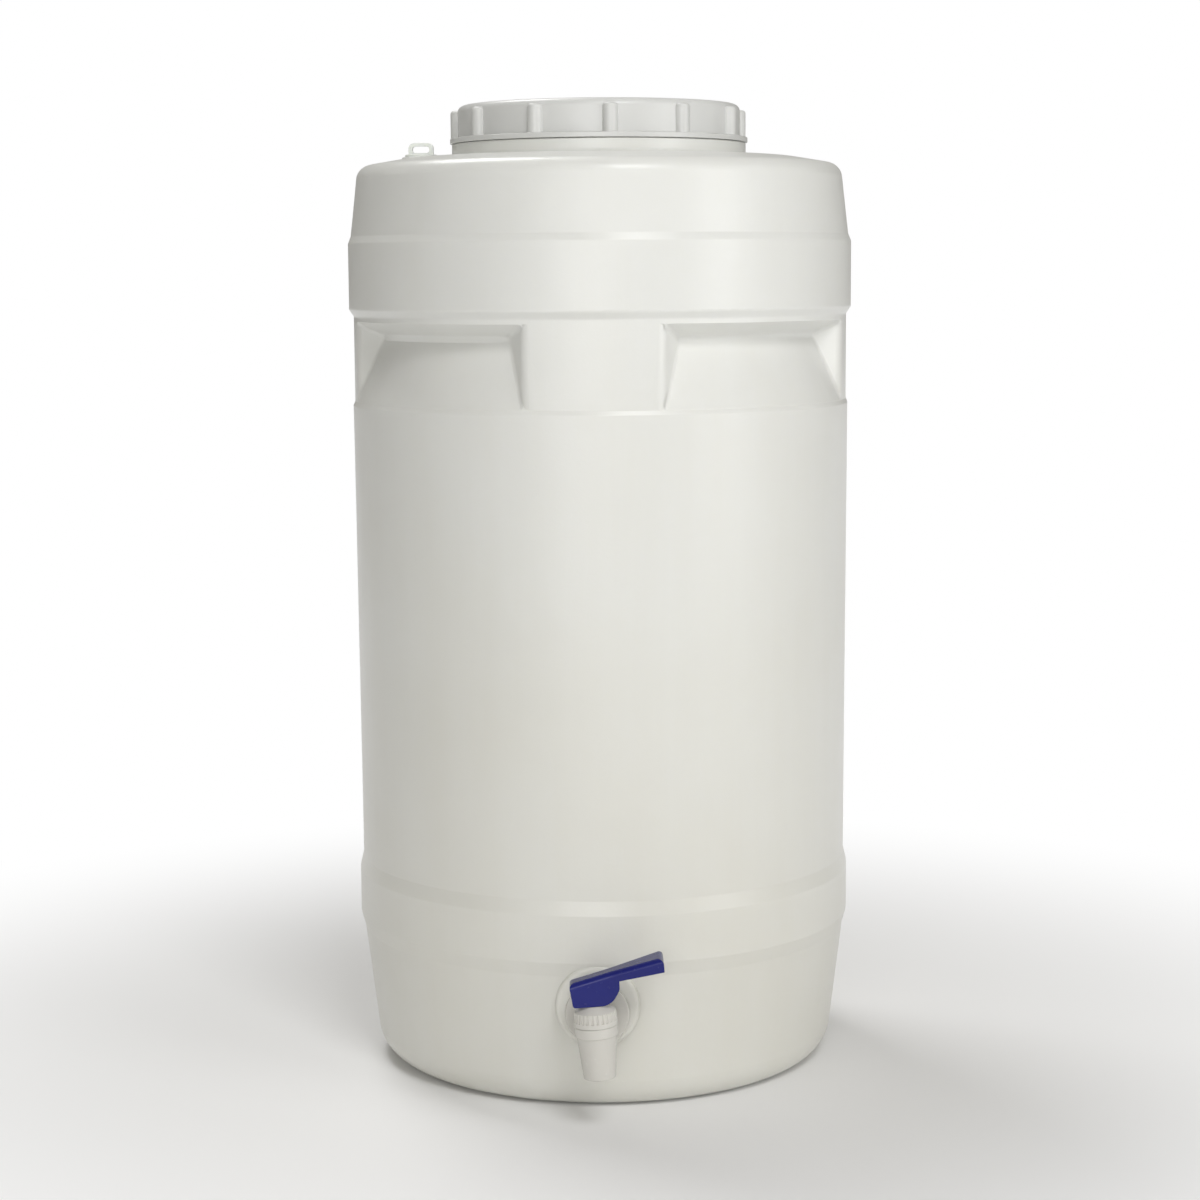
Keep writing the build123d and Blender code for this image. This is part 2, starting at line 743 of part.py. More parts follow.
with BuildPart() as lever:
    with BuildSketch(lever_plane) as profile:
        with BuildLine():
            Spline(*cam_points, tangents=[(1, 0), (0, 1)])
            Polyline(
                cam_points[-1],
                (block_front, arm_root_height),
                (lever_reach, arm_tip_height),
                (lever_reach, tip_top_height),
                (-lever_back_top, lever_back_height),
                (-lever_back_foot, -cam_height),
                cam_points[0],
            )
        make_face()
        fillet(profile.vertices().sort_by_distance((-lever_back_foot, -cam_height))[0], lever_foot_round)
    extrude(amount=lever_tip_half_width, both=True)
    with BuildSketch(lever_plan):
        with BuildLine():
            FilletPolyline(
                (-2 * lever_back_top, lever_half_width),
                (lever_flare_start, lever_half_width),
                (lever_reach, lever_tip_half_width),
                (lever_reach, -lever_tip_half_width),
                (lever_flare_start, -lever_half_width),
                (-2 * lever_back_top, -lever_half_width),
                radius=[4 * lever_half_width, 0, 0, 4 * lever_half_width],
            )
            Line((-2 * lever_back_top, -lever_half_width), (-2 * lever_back_top, lever_half_width))
        make_face()
    extrude(amount=lever_reach, both=True, mode=Mode.INTERSECT)
    crown = lever.faces().sort_by(Axis(pivot, valve_up - lever_out * top_slope))[-1]
    fillet(crown.edges(), lever_crown_round)
    with BuildSketch(lever_plane):
        Circle(math.hypot(stem_radius, stem_head) + lever_slot_clear)
        with BuildLine():
            Polyline(
                (-slot_half_width, 0),
                (-slot_half_width, -cam_height - stem_head_round),
                (
                    slot_shoulder[0] + slot_run * math.sin(press),
                    slot_shoulder[1] - slot_run * math.cos(press),
                ),
                slot_shoulder,
                close=True,
            )
        make_face()
    extrude(amount=slot_half_width, both=True, mode=Mode.SUBTRACT)
    with BuildSketch(lever_plane):
        Circle(trunnion_radius + trunnion_clear)
    extrude(amount=trunnion_reach + trunnion_end_clear, both=True, mode=Mode.SUBTRACT)
lever.part.label = "lever"

os.makedirs("parts", exist_ok=True)
for piece in (
    drum, lid, lid_seal, vent_plug, tap_outer_washer, tap_inner_washer, tap_nut, tap_body,
    tap_cap, stem_ring, valve_seal, valve_stem, valve_spring, lever,
):
    export_step(piece.part, f"parts/{piece.part.label}.step")
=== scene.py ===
"""Looks of a 60-litre drum with a screw lid, a vent plug and a lever tap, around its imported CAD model.

Frame: metres, +Z up, the tap faces -Y, the origin is on the floor on the drum's axis.
"""

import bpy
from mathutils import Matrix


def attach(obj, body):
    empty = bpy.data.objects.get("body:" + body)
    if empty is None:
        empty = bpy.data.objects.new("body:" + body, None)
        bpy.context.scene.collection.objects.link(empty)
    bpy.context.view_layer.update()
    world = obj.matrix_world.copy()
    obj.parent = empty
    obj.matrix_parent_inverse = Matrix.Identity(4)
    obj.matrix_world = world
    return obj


bl_info = {
    "name": "Carboy with spigot",
    "version": (1, 0, 0),
    "blender": (4, 5, 0),
    "location": "View3D > Sidebar > Carboy",
    "description": "Finishes, threads, moulding marks and studio of a drum with a lever tap",
    "category": "Object",
}

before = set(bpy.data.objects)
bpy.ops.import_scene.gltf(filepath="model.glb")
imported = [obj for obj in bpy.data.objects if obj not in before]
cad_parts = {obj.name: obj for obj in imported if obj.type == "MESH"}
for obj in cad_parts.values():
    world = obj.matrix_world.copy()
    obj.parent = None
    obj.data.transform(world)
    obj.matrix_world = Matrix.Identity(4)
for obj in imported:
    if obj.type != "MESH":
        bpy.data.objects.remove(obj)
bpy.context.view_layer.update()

import math

import bmesh
import bpy
import numpy as np
from bpy.props import FloatProperty, FloatVectorProperty, PointerProperty
from mathutils import Matrix, Vector

# Sizes of the CAD model that the extra pieces follow, in metres
NECK_RADIUS = 0.0978
SKIRT_BORE = 0.0992
COLLAR_TOP = 0.6684
LID_TOP = 0.6963

THREAD_START = COLLAR_TOP + 0.0035
TURN = 2 * math.pi
WHITE = (1.0, 1.0, 1.0, 1.0)
WARM_WHITE = (1.0, 0.965, 0.89, 1.0)

# The lamps: name, place, what they face, and size
LAMPS = (
    ("key", (0.7, -2.2, 2.3), (0.0, 0.0, 0.35), (1.0, 0.8)),
    ("side", (2.3, -1.5, 1.0), (0.0, 0.0, 0.35), (1.0, 1.6)),
    ("fill", (-0.2, -3.2, 0.8), (0.0, 0.0, 0.35), (1.6, 1.2)),
    ("back", (-0.8, 1.0, 2.6), (0.1, -0.1, 0.1), (0.9, 0.9)),
)


# Shader arithmetic

class Wire:
    """A shader socket that takes part in arithmetic: every operator adds the Math node it stands for."""

    def __init__(self, finish, socket):
        self.finish = finish
        self.socket = socket

    def maths(self, operation, *values):
        return self.finish.node("ShaderNodeMath", {"operation": operation}, dict(enumerate(values)))

    def __add__(self, other):
        return self.maths("ADD", self, other)

    __radd__ = __add__

    def __mul__(self, other):
        return self.maths("MULTIPLY", self, other)

    __rmul__ = __mul__

    def __sub__(self, other):
        return self.maths("SUBTRACT", self, other)

    def __rsub__(self, other):
        return self.maths("SUBTRACT", other, self)

    def smooth(self, low, high):
        """0 below low, 1 above high, and a smooth step between them."""
        ramp = {"interpolation_type": "SMOOTHSTEP"}
        sockets = {"Value": self, "From Min": low, "From Max": high}
        return self.finish.node("ShaderNodeMapRange", ramp, sockets)


class Finish:
    """The nodes of a material or of the world: node() adds any one, and other methods the common ones."""

    def __init__(self, owner):
        owner.use_nodes = True
        self.owner = owner
        self.tree = owner.node_tree
        self.tree.nodes.clear()

    def node(self, kind, settings=None, sockets=None, out=0):
        """Adds a node: its settings first, then the values or links of its sockets; returns one output."""
        node = self.tree.nodes.new(kind)
        for key, value in (settings or {}).items():
            setattr(node, key, value)
        for key, value in (sockets or {}).items():
            if isinstance(value, Wire):
                self.tree.links.new(value.socket, node.inputs[key])
            else:
                node.inputs[key].default_value = value
        return Wire(self, node.outputs[out])

    def place(self):
        """Object coordinates, in metres."""
        return self.node("ShaderNodeTexCoord", out="Object")

    def along(self, axis):
        """One object coordinate, 0 for X, 1 for Y or 2 for Z."""
        return self.node("ShaderNodeSeparateXYZ", sockets={0: self.place()}, out=axis)

    def stretched(self, scale, turn=(0.0, 0.0, 0.0)):
        """Object coordinates scaled along each axis, after a turn."""
        sockets = {"Vector": self.place(), "Rotation": turn, "Scale": scale}
        return self.node("ShaderNodeMapping", {}, sockets)

    def noise(self, scale, detail=3.0, roughness=0.5, vector=None):
        """Fractal noise from 0 to 1; scale is in features per metre."""
        sockets = {"Scale": scale, "Detail": detail, "Roughness": roughness}
        return self.node("ShaderNodeTexNoise", {}, {"Vector": vector or self.place(), **sockets})

    def clamped(self, value):
        """The value kept between 0 and 1."""
        return self.node("ShaderNodeClamp", {}, {0: value})

    def blend_colours(self, mask, low, high):
        """The colour low where mask is 0 and high where it is 1."""
        return self.node("ShaderNodeMix", {"data_type": "RGBA"}, {0: mask, 6: low, 7: high}, out=2)

    def bump(self, height, strength, distance, under=None):
        """A normal from a height; distance is in metres, and under is a normal that it adds to."""
        values = {"Height": height, "Strength": strength, "Distance": distance}
        if under is not None:
            values["Normal"] = under
        return self.node("ShaderNodeBump", {}, values)

    def surface(self, **sockets):
        """Ends the material in one Principled shader; a name's underscores stand for spaces."""
        values = {key.replace("_", " "): value for key, value in sockets.items()}
        return self.ended(self.node("ShaderNodeBsdfPrincipled", {}, values))

    def ended(self, shader, output="ShaderNodeOutputMaterial"):
        """Links the last shader to the output, and returns the material or world."""
        end = self.tree.nodes.new(output)
        self.tree.links.new(shader.socket, end.inputs["Surface"])
        return self.owner


def new_finish(name):
    """A new, empty material to build up."""
    return Finish(bpy.data.materials.new(name))


def rgba(colour):
    """A colour property as the four numbers that a colour socket takes."""
    return (colour[0], colour[1], colour[2], 1.0)


def shade(colour, factor):
    """A colour made lighter or darker by a factor."""
    return (colour[0] * factor, colour[1] * factor, colour[2] * factor, 1.0)


# Surfaces worked out as arrays

def piece_from_rings(name, points):
    """A smooth piece from points[i, j], in which each ring i closes on itself and each cell is one face.

    Coincident points are merged, so poles and ends close, and every face points outwards.
    """
    rings, columns = points.shape[:2]
    i, j = np.meshgrid(np.arange(rings - 1), np.arange(columns), indexing="ij")
    after = (j + 1) % columns
    corners = np.stack([
        i * columns + j, (i + 1) * columns + j, (i + 1) * columns + after, i * columns + after,
    ], axis=-1).reshape(-1, 4)
    mesh = bpy.data.meshes.new(name)
    mesh.from_pydata(points.reshape(-1, 3), [], corners)
    shell = bmesh.new()
    shell.from_mesh(mesh)
    bmesh.ops.remove_doubles(shell, verts=shell.verts, dist=1e-7)
    bmesh.ops.recalc_face_normals(shell, faces=shell.faces)
    shell.to_mesh(mesh)
    shell.free()
    mesh.polygons.foreach_set("use_smooth", np.ones(len(mesh.polygons), dtype=bool))
    mesh.update()
    piece = bpy.data.objects.new(name, mesh)
    bpy.context.scene.collection.objects.link(piece)
    return piece


def piece_with_ends(name, rings):
    """A piece from rings whose first and last are closed by a fan to their middles."""
    middles = np.broadcast_to(rings.mean(axis=1, keepdims=True), rings.shape)
    return piece_from_rings(name, np.concatenate([middles[:1], rings, middles[-1:]]))


def smooth_step(t):
    """0 at 0 and 1 at 1, level at both."""
    return t * t * (3.0 - 2.0 * t)


def thread_ridge(name, radius, sizes, phase=0.0, side=1.0):
    """A screw thread's ridge on a cylinder about +Z.

    Row i is at the angle a = phase + 2 pi t, for t from 0 to the number of turns, and lies lead t above the
    start. The ridge's outline is a raised cosine across its width, with its top cut level: the point at s
    from -1 to 1 stands at radius + side (h min(1, 0.72 (1 + cos pi s)) - sink), so its foot lies under the
    wall. The height h fades to nothing over the first and last twelfth of a turn, as in a moulded thread.
    """
    sink = 0.0003
    rows_per_turn, points_across, fades_per_turn, steepness = 96, 13, 12.0, 0.72
    turns = sizes.thread_turns
    travel = np.linspace(0.0, turns, int(rows_per_turn * turns) + 1)
    angle = phase + TURN * travel
    fade = smooth_step(np.clip(np.minimum(travel, turns - travel) * fades_per_turn, 0.0, 1.0))
    across = np.linspace(-1.0, 1.0, points_across)
    lift = sizes.thread_height * np.minimum(1.0, steepness * (1.0 + np.cos(math.pi * across)))
    reach = radius + side * (fade[:, None] * lift[None, :] - sink)
    level = THREAD_START + sizes.thread_lead * travel[:, None] + 0.5 * sizes.thread_width * across[None, :]
    back = np.full((len(travel), 1), radius - side * 3.0 * sink)
    reach = np.concatenate([reach, back, back], axis=1)
    level = np.concatenate([level, level[:, -1:], level[:, :1]], axis=1)
    points = np.stack([reach * np.cos(angle)[:, None], reach * np.sin(angle)[:, None], level], axis=-1)
    return piece_with_ends(name, points)


def rounded_outline(corners, per_arc=7):
    """Points along an outline of (radius, height, round) corners, each corner turned into an arc.

    A corner's arc touches both runs at round * tan(half the turn), and its centre lies square to each.
    """
    corners = np.array(corners, dtype=float)
    before, here, after = corners[:-2, :2], corners[1:-1, :2], corners[2:, :2]
    rounds = corners[1:-1, 2]
    run_in = (before - here) / np.linalg.norm(before - here, axis=1, keepdims=True)
    run_out = (after - here) / np.linalg.norm(after - here, axis=1, keepdims=True)
    opening = np.arccos(np.clip((run_in * run_out).sum(axis=1), -1.0, 1.0))
    reach = rounds / np.tan(opening / 2)
    bisector = run_in + run_out
    bisector /= np.linalg.norm(bisector, axis=1, keepdims=True)
    centre = here + bisector * (rounds / np.sin(opening / 2))[:, None]
    start = here + run_in * reach[:, None] - centre
    end = here + run_out * reach[:, None] - centre
    turn = np.sign(start[:, 0] * end[:, 1] - start[:, 1] * end[:, 0])
    t = np.linspace(0.0, 1.0, per_arc)[None, :] * ((math.pi - opening) * turn)[:, None]
    x = start[:, :1] * np.cos(t) - start[:, 1:] * np.sin(t) + centre[:, :1]
    y = start[:, :1] * np.sin(t) + start[:, 1:] * np.cos(t) + centre[:, 1:]
    middle = np.stack([x, y], axis=-1).reshape(-1, 2)
    return np.concatenate([corners[:1, :2], middle, corners[-1:, :2]])


# Outside of the drum from the base's middle to the shoulder: radius, height and round, as in the CAD model
DRUM_OUTLINE = [
    (0.0000, 0.0070, 0.0), (0.1260, 0.0070, 0.005), (0.1380, 0.0000, 0.005), (0.1662, 0.0000, 0.024),
    (0.1782, 0.0980, 0.003), (0.1810, 0.1080, 0.003), (0.1810, 0.1410, 0.003), (0.1785, 0.1510, 0.003),
    (0.1802, 0.4820, 0.001), (0.1789, 0.4850, 0.001), (0.1789, 0.5460, 0.003), (0.1823, 0.5510, 0.003),
    (0.1823, 0.5980, 0.003), (0.1802, 0.6030, 0.003), (0.1746, 0.6522, 0.011), (0.1420, 0.6578, 0.060),
    (0.1140, 0.6589, 0.0),
]


def parting_ridge(name, azimuth, end, sizes):
    """The fine ridge that the mould's two halves leave up one side of the drum.

    The drum's outline is resampled evenly from where the base's side begins to the share end of its length.
    At each point the ridge's section is the arc height (1 - s^2) across its width, raised along the
    outline's normal and set a third of its height into the wall.
    """
    rows, fade_rows, points_across, start = 420, 12.0, 7, 0.215
    width, height = sizes.ridge_width, sizes.ridge_height
    outline = rounded_outline(DRUM_OUTLINE)
    length = np.concatenate([[0.0], np.cumsum(np.linalg.norm(np.diff(outline, axis=0), axis=1))])
    at = np.linspace(start * length[-1], end * length[-1], rows)
    line = np.stack([np.interp(at, length, outline[:, 0]), np.interp(at, length, outline[:, 1])], axis=1)
    along = np.gradient(line, axis=0)
    along /= np.linalg.norm(along, axis=1, keepdims=True)
    normal = np.stack([along[:, 1], -along[:, 0]], axis=1)

    s = np.linspace(-1.0, 1.0, points_across)
    row = np.arange(rows)
    fade = np.clip(np.minimum(row, row[::-1]) / fade_rows, 0.0, 1.0)
    rise = height * (fade[:, None] * (1.0 - s * s)[None, :] - 0.35)
    radius = line[:, :1] + normal[:, :1] * rise
    level = line[:, 1:] + normal[:, 1:] * rise
    offset = np.broadcast_to(0.5 * width * s, rise.shape)
    a = math.radians(azimuth)
    points = np.stack([
        radius * math.cos(a) - offset * math.sin(a),
        radius * math.sin(a) + offset * math.cos(a),
        level,
    ], axis=-1)

    inwards = 0.9 * height * np.stack([
        normal[:, 0] * math.cos(a), normal[:, 0] * math.sin(a), normal[:, 1],
    ], axis=-1)
    under = points[:, ::-1][:, 1:-1] - inwards[:, None, :]
    return piece_with_ends(name, np.concatenate([points, under], axis=1))


def turned_piece(name, outline, centre=(0.0, 0.0, 0.0), segments=48):
    """A shape turned about +Z: each (radius, height) of the outline goes round a circle at its height."""
    outline = np.array(outline)
    angle = np.linspace(0.0, TURN, segments, endpoint=False)
    points = np.stack([
        outline[:, :1] * np.cos(angle) + centre[0],
        outline[:, :1] * np.sin(angle) + centre[1],
        np.broadcast_to(outline[:, 1:] + centre[2], (len(outline), segments)),
    ], axis=-1)
    return piece_from_rings(name, points)


# Finishes

def natural_polyethylene(colours):
    """Milky blow-moulded polyethylene: cloudy thickness, faint draw marks, a fine orange peel, and painted
    shade that makes the colour darker and warmer towards the bottom.
    """
    f = new_finish("drum_plastic")
    height = f.along(2)
    cloud = f.noise(7.0, 3.0)
    draw = f.noise(1.0, 4.0, 0.6, f.stretched((26.0, 26.0, 1.6)))
    # Painted shade: the colour blends towards the darker, warmer lower colour towards the bottom, standing
    # in for less light from above; the cloud and draw noise vary the tone at random.
    painted_low_shade = 1.0 - height.smooth(0.05, 0.62)
    mask = f.clamped(painted_low_shade * 0.55 + (cloud - 0.5) * 0.5 + (draw - 0.5) * 0.45)
    colour = f.blend_colours(mask, rgba(colours.drum_high), rgba(colours.drum_low_painted_shade))
    peel = f.noise(420.0, 2.0)
    wave = f.noise(16.0, 2.0)
    specks = f.noise(1400.0, 2.0)
    normal = f.bump(wave, 0.5, 0.0022)
    normal = f.bump(peel * 0.7 + specks * 0.3, 0.22, 0.0003, normal)
    roughness = 0.33 + (cloud - 0.5) * 0.16 + (peel - 0.5) * 0.10
    return f.surface(
        Base_Color=colour, Roughness=roughness, Normal=normal, IOR=1.52, Specular_IOR_Level=0.5,
        Subsurface_Weight=0.25, Subsurface_Radius=(0.9, 0.9, 0.8), Subsurface_Scale=0.006,
    )


def moulded_plastic(name, colour, roughness, grain=520.0, wear=0.10, subsurface=0.1, shine=0.5):
    """Injection-moulded plastic: slight flow marks in the colour, a fine skin and handling scuffs.

    grain is in features per metre, and wear is the share by which the flow marks are darker.
    """
    f = new_finish(name)
    flow = f.noise(38.0, 3.0)
    skin = f.noise(grain, 2.0)
    scuffs = f.noise(1.0, 5.0, 0.65, f.stretched((220.0, 900.0, 300.0), (0.4, 0.2, 0.6)))
    scuffed = scuffs.smooth(0.60, 0.74)
    base = f.blend_colours(f.clamped((flow - 0.35) * 1.2), shade(colour, 1.0 - wear), rgba(colour))
    normal = f.bump(flow, 0.25, 0.0004)
    normal = f.bump(skin * 0.8 + scuffed * 0.2, 0.18, 0.00012, normal)
    return f.surface(
        Base_Color=base, Roughness=roughness + (skin - 0.5) * 0.12 + scuffed * 0.12, Normal=normal,
        IOR=1.50, Subsurface_Weight=subsurface, Subsurface_Radius=(0.9, 0.9, 0.8), Subsurface_Scale=0.002,
        Specular_IOR_Level=shine,
    )


def soft_rubber(name, colour, roughness=0.6):
    """Soft pale rubber: a matt bloom in patches over a slightly grainy skin."""
    f = new_finish(name)
    bloom = f.noise(90.0, 4.0).smooth(0.42, 0.66)
    grain = f.noise(1600.0, 2.0)
    base = f.blend_colours(bloom, shade(colour, 0.88), shade(colour, 1.04))
    return f.surface(
        Base_Color=base, Roughness=roughness + bloom * 0.15, Normal=f.bump(grain, 0.3, 0.00008), IOR=1.43,
        Subsurface_Weight=0.15, Subsurface_Radius=(0.9, 0.9, 0.8), Subsurface_Scale=0.0015,
    )


def drawn_steel(name, colour):
    """Drawn spring wire: fine lengthwise scratches and a little tarnish."""
    f = new_finish(name)
    tarnish = f.noise(160.0, 4.0).smooth(0.45, 0.7)
    scratches = f.noise(1.0, 3.0, 0.6, f.stretched((900.0, 900.0, 4200.0)))
    base = f.blend_colours(tarnish, rgba(colour), shade(colour, 0.72))
    return f.surface(
        Base_Color=base, Metallic=1.0, Roughness=0.24 + tarnish * 0.18 + (scratches - 0.5) * 0.12,
        Normal=f.bump(scratches, 0.2, 0.00003),
    )


def set_finish(piece, material):
    """Gives a piece or a CAD node one material on all its faces."""
    piece.data.materials.clear()
    piece.data.materials.append(material)
    piece.data.polygons.foreach_set("material_index", np.zeros(len(piece.data.polygons), dtype=np.int32))


def finish_nodes(material, *names):
    """Gives the named CAD nodes one material."""
    for name in names:
        set_finish(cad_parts[name], material)


# Settings

def colour_property(name, default, description):
    return FloatVectorProperty(
        name=name, description=description, default=default, size=3, subtype="COLOR", min=0.0, max=1.0,
    )


def size_property(name, default, description):
    return FloatProperty(name=name, description=description, default=default, unit="LENGTH", precision=5)


def power_property(name, default, description):
    return FloatProperty(name=name, description=description, default=default, unit="POWER")


class CarboyColours(bpy.types.PropertyGroup):
    """Colours of the finishes, as linear values."""
    drum_high: colour_property("Drum, upper part", (0.75, 0.755, 0.725), "Natural plastic")
    # The lower drum colour is painted shade: darker and warmer than the upper colour, standing in for less
    # light falling low down.
    drum_low_painted_shade: colour_property("Drum, lower part", (0.66, 0.645, 0.575), "Natural plastic, a little warmer")
    lid: colour_property("Lid", (0.70, 0.705, 0.69), "White moulded lid")
    vent_plug: colour_property("Vent plug", (0.80, 0.83, 0.79), "Soft natural plug")
    tap: colour_property("Tap", (0.66, 0.645, 0.60), "Cream white tap body, cap and nut")
    lever: colour_property("Lever", (0.014, 0.018, 0.18), "Deep blue lever")
    rubber: colour_property("Rubber", (0.72, 0.71, 0.68), "Washers and seals")
    stem: colour_property("Stem", (0.86, 0.86, 0.84), "White valve stem")
    steel: colour_property("Spring", (0.62, 0.61, 0.59), "Spring steel")
    floor: colour_property("Floor", (0.90, 0.90, 0.90), "Pale studio floor")


class CarboySizes(bpy.types.PropertyGroup):
    """Sizes of the pieces that are added to the CAD model."""
    thread_lead: size_property("Lid thread lead", 0.012, "Rise of the lid's thread in one turn")
    thread_height: size_property("Lid thread height", 0.0010, "How far each ridge stands out of its wall")
    thread_width: size_property("Lid thread width", 0.0040, "Width of each ridge")
    thread_turns: FloatProperty(name="Lid thread turns", description="Turns of each ridge", default=1.25)
    ridge_width: size_property("Parting line width", 0.0016, "Width of the mould's parting line")
    ridge_height: size_property("Parting line height", 0.00035, "How far the parting line stands out")
    gate_radius: size_property("Gate mark radius", 0.0045, "The moulding gate in the middle of the lid")


class CarboyStudio(bpy.types.PropertyGroup):
    """Camera and lamps."""
    distance: size_property("Camera distance", 1.926, "From the drum's axis")
    height: size_property("Camera height", 0.5798, "Above the floor")
    azimuth: FloatProperty(name="Camera azimuth", description="Degrees right of the front", default=1.5)
    yaw: FloatProperty(name="Camera yaw", description="Degrees past the drum's axis", default=0.039)
    pitch: FloatProperty(name="Camera pitch", description="Degrees below level", default=7.22)
    roll: FloatProperty(name="Camera roll", description="Degrees clockwise", default=0.38)
    lens: FloatProperty(name="Lens", description="Focal length in millimetres", default=78.69)
    key_power: power_property("Key lamp", 30.0, "Power of the lamp in front, high up")
    side_power: power_property("Side lamp", 16.0, "Power of the lamp on the right")
    fill_power: power_property("Fill lamp", 22.0, "Power of the low lamp in front")
    back_power: power_property("Back lamp", 26.0, "Power of the lamp overhead, behind")
    world: FloatProperty(name="World", description="Strength of the even light all round", default=0.24)
    floor_glow: FloatProperty(name="Floor glow", description="White share seen near the drum", default=0.0)
    glow_start: size_property("Glow start", 0.24, "From the axis to where the floor begins to turn white")
    glow_end: size_property("Glow end", 0.85, "From the axis to where the floor is all white")
    floor_radius: size_property("Floor radius", 14.0, "From the axis to the floor's edge")


# Operators

class CARBOY_OT_drum(bpy.types.Operator):
    """Finish the drum and add the mould's parting line up both sides"""
    bl_idname = "carboy.drum"
    bl_label = "Drum"

    def execute(self, context):
        sizes = context.scene.carboy_sizes
        plastic = natural_polyethylene(context.scene.carboy_colours)
        finish_nodes(plastic, "drum")
        for name, azimuth, end in (("parting_line_right", 0.0, 0.985), ("parting_line_left", 180.0, 0.93)):
            line = parting_ridge(name, azimuth, end, sizes)
            set_finish(line, plastic)
            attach(line, "drum")
        return {"FINISHED"}


class CARBOY_OT_neck_thread(bpy.types.Operator):
    """Add the screw thread on the drum's neck"""
    bl_idname = "carboy.neck_thread"
    bl_label = "Neck thread"

    def execute(self, context):
        thread = thread_ridge("neck_thread", NECK_RADIUS, context.scene.carboy_sizes)
        set_finish(thread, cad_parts["drum"].data.materials[0])
        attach(thread, "drum")
        return {"FINISHED"}


class CARBOY_OT_lid(bpy.types.Operator):
    """Finish the lid and its seal, and add the lid's thread and the moulding gate on its top"""
    bl_idname = "carboy.lid"
    bl_label = "Lid"

    def execute(self, context):
        sizes = context.scene.carboy_sizes
        colours = context.scene.carboy_colours
        white = moulded_plastic("lid_plastic", colours.lid, 0.34, grain=480.0, wear=0.06, subsurface=0.15)
        finish_nodes(white, "lid")
        finish_nodes(soft_rubber("lid_seal_rubber", colours.rubber), "lid_seal")
        thread = thread_ridge("lid_thread", SKIRT_BORE, sizes, phase=math.pi, side=-1.0)
        r = sizes.gate_radius
        gate = turned_piece("lid_gate", [
            (0.0, -0.0006), (1.15 * r, -0.0006), (1.15 * r, 0.0), (1.12 * r, 0.00022), (1.02 * r, 0.0003),
            (0.92 * r, 0.0002), (0.86 * r, 0.00005), (0.30 * r, 0.00005), (0.24 * r, 0.0005),
            (0.14 * r, 0.0007), (0.0, 0.00075),
        ], centre=(0.0, 0.0, LID_TOP))
        for piece in (thread, gate):
            set_finish(piece, white)
            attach(piece, "lid")
        return {"FINISHED"}


class CARBOY_OT_vent_plug(bpy.types.Operator):
    """Finish the vent plug"""
    bl_idname = "carboy.vent_plug"
    bl_label = "Vent plug"

    def execute(self, context):
        colour = context.scene.carboy_colours.vent_plug
        finish_nodes(moulded_plastic("plug_plastic", colour, 0.30, wear=0.05, subsurface=0.45), "vent_plug")
        return {"FINISHED"}


class CARBOY_OT_tap(bpy.types.Operator):
    """Finish the tap's body, cap, nut and washers"""
    bl_idname = "carboy.tap"
    bl_label = "Tap"

    def execute(self, context):
        colours = context.scene.carboy_colours
        cream = moulded_plastic("tap_plastic", colours.tap, 0.24, grain=700.0, wear=0.07, subsurface=0.12)
        finish_nodes(cream, "tap_body", "tap_cap", "tap_nut")
        rubber = soft_rubber("washer_rubber", colours.rubber)
        finish_nodes(rubber, "tap_outer_washer", "tap_inner_washer")
        return {"FINISHED"}


class CARBOY_OT_valve(bpy.types.Operator):
    """Finish the valve's stem, seal, spring and stem ring"""
    bl_idname = "carboy.valve"
    bl_label = "Valve"

    def execute(self, context):
        colours = context.scene.carboy_colours
        white = moulded_plastic("stem_plastic", colours.stem, 0.28, grain=900.0, wear=0.05, subsurface=0.05)
        finish_nodes(white, "valve_stem")
        finish_nodes(soft_rubber("valve_rubber", colours.rubber, 0.5), "valve_seal", "stem_ring")
        finish_nodes(drawn_steel("spring_steel", colours.steel), "valve_spring")
        return {"FINISHED"}


class CARBOY_OT_lever(bpy.types.Operator):
    """Finish the lever"""
    bl_idname = "carboy.lever"
    bl_label = "Lever"

    def execute(self, context):
        colour = context.scene.carboy_colours.lever
        finish_nodes(moulded_plastic(
            "lever_plastic", colour, 0.24, grain=900.0, wear=0.18, subsurface=0.0, shine=0.3,
        ), "lever")
        return {"FINISHED"}


def area_lamp(name, place, target, size, power):
    """A soft rectangular lamp that faces a target."""
    lamp = bpy.data.lights.new(name, "AREA")
    lamp.shape = "RECTANGLE"
    lamp.size, lamp.size_y = size
    lamp.energy = power
    holder = bpy.data.objects.new(name, lamp)
    holder.matrix_world = Matrix.Translation(place) @ (
        Vector(target) - Vector(place)
    ).to_track_quat("-Z", "Y").to_matrix().to_4x4()
    bpy.context.scene.collection.objects.link(holder)


def seen_share(f):
    """1 for rays from the camera, reflections and refractions, 0 for rays that carry light."""
    path = f.node("ShaderNodeLightPath", out="Is Camera Ray")
    glossy = f.node("ShaderNodeLightPath", out="Is Glossy Ray")
    through = f.node("ShaderNodeLightPath", out="Is Transmission Ray")
    return f.clamped(path + glossy + through)


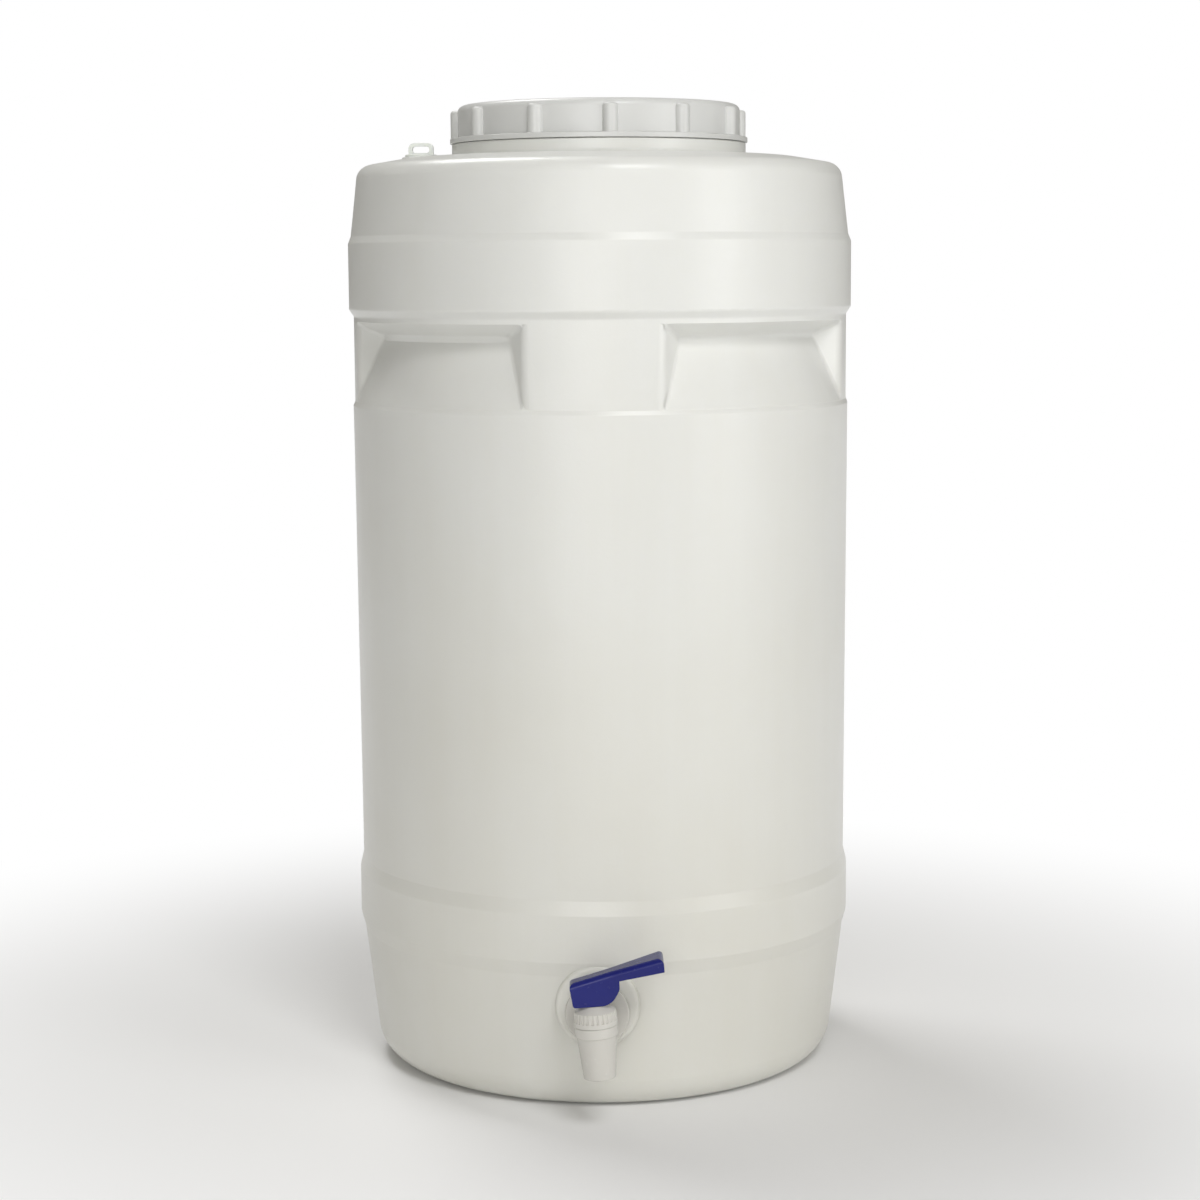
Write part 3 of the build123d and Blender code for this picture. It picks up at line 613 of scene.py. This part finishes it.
class CARBOY_OT_stage(bpy.types.Operator):
    """Set up the camera, the floor and the soft studio light"""
    bl_idname = "carboy.stage"
    bl_label = "Camera and stage"

    def execute(self, context):
        scene = context.scene
        studio, colours = scene.carboy_studio, scene.carboy_colours
        scene.view_settings.view_transform = "Standard"

        camera = bpy.data.cameras.new("camera")
        camera.lens = studio.lens
        camera.sensor_width = 36.0
        camera.clip_start, camera.clip_end = 0.05, 60.0
        viewer = bpy.data.objects.new("camera", camera)
        side = math.radians(studio.azimuth)
        place = (studio.distance * math.sin(side), -studio.distance * math.cos(side), studio.height)
        viewer.matrix_world = (
            Matrix.Translation(place)
            @ Matrix.Rotation(math.radians(studio.azimuth + studio.yaw), 4, "Z")
            @ Matrix.Rotation(math.radians(90.0 - studio.pitch), 4, "X")
            @ Matrix.Rotation(math.radians(-studio.roll), 4, "Z")
        )
        scene.collection.objects.link(viewer)
        scene.camera = viewer

        floor = turned_piece("floor", [(r, 0.0) for r in (0.0, 1.0, 4.0, studio.floor_radius)], segments=96)
        f = new_finish("floor_paper")
        paper = f.node("ShaderNodeBsdfDiffuse", {}, {"Color": rgba(colours.floor)})
        white = f.node("ShaderNodeEmission", {}, {"Color": WHITE, "Strength": 1.0})
        away = f.node("ShaderNodeVectorMath", {"operation": "LENGTH"}, {0: f.place()}, out="Value")
        whitening = away.smooth(studio.glow_start, studio.glow_end)
        glow = studio.floor_glow + (1.0 - studio.floor_glow) * whitening
        floor.data.materials.append(f.ended(f.node(
            "ShaderNodeMixShader", {}, {0: seen_share(f) * glow, 1: paper, 2: white},
        )))

        w = Finish(bpy.data.worlds.new("studio"))
        even = w.node("ShaderNodeBackground", {}, {"Color": WARM_WHITE, "Strength": studio.world})
        seen = w.node("ShaderNodeBackground", {}, {"Color": WHITE, "Strength": 1.0})
        camera_ray = w.node("ShaderNodeLightPath", out="Is Camera Ray")
        mixed = w.node("ShaderNodeMixShader", {}, {0: camera_ray, 1: even, 2: seen})
        scene.world = w.ended(mixed, "ShaderNodeOutputWorld")

        for name, place, target, size in LAMPS:
            area_lamp(name, place, target, size, getattr(studio, name + "_power"))
        return {"FINISHED"}


class CARBOY_PT_panel(bpy.types.Panel):
    """Lists the operators and the settings in the 3D view's sidebar"""
    bl_label = "Carboy with spigot"
    bl_idname = "CARBOY_PT_panel"
    bl_space_type = "VIEW_3D"
    bl_region_type = "UI"
    bl_category = "Carboy"

    def draw(self, context):
        scene = context.scene
        for operator in OPERATORS:
            self.layout.operator(operator.bl_idname)
        for settings in (scene.carboy_colours, scene.carboy_sizes, scene.carboy_studio):
            box = self.layout.box()
            for key in settings.__annotations__:
                box.prop(settings, key)


SETTINGS = (CarboyColours, CarboySizes, CarboyStudio)
OPERATORS = (
    CARBOY_OT_stage, CARBOY_OT_drum, CARBOY_OT_neck_thread, CARBOY_OT_lid, CARBOY_OT_vent_plug,
    CARBOY_OT_tap, CARBOY_OT_valve, CARBOY_OT_lever,
)


def register():
    for part in SETTINGS + OPERATORS + (CARBOY_PT_panel,):
        bpy.utils.register_class(part)
    bpy.types.Scene.carboy_colours = PointerProperty(type=CarboyColours)
    bpy.types.Scene.carboy_sizes = PointerProperty(type=CarboySizes)
    bpy.types.Scene.carboy_studio = PointerProperty(type=CarboyStudio)


def unregister():
    del bpy.types.Scene.carboy_colours
    del bpy.types.Scene.carboy_sizes
    del bpy.types.Scene.carboy_studio
    for part in reversed(SETTINGS + OPERATORS + (CARBOY_PT_panel,)):
        bpy.utils.unregister_class(part)


def main():
    register()
    bpy.ops.carboy.stage()
    bpy.ops.carboy.drum()
    bpy.ops.carboy.neck_thread()
    bpy.ops.carboy.lid()
    bpy.ops.carboy.vent_plug()
    bpy.ops.carboy.tap()
    bpy.ops.carboy.valve()
    bpy.ops.carboy.lever()
    bpy.context.view_layer.update()


if __name__ == "__main__":
    main()
